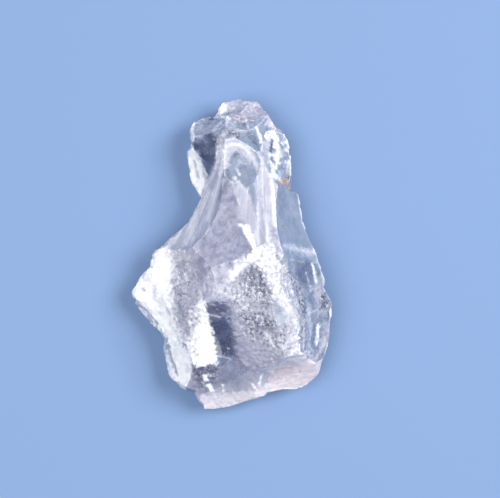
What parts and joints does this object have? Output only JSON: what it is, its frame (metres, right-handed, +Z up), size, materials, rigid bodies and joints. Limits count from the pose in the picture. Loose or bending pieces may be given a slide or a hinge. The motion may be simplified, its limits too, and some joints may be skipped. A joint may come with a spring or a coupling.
{
  "type": "rough clear quartz chunk",
  "caption": "Broken chunk of clear quartz with a narrow head and a broad base, hollow shell-shaped fracture faces, sharp ridges and a flat resting face.",
  "frame": {"origin": "under the middle of the bounding box, on the surface the chunk rests on", "axes": "+Y from the broad base to the narrow head, +Z up out of the resting face, +X towards the side with the long even flank"},
  "size_m": [0.0404, 0.0624, 0.0186],
  "materials": {
    "quartz": "clear, with frosted and milky fracture faces"
  },
  "bodies": {
    "root": {"clear_quartz": "quartz"}
  },
  "joints": []
}
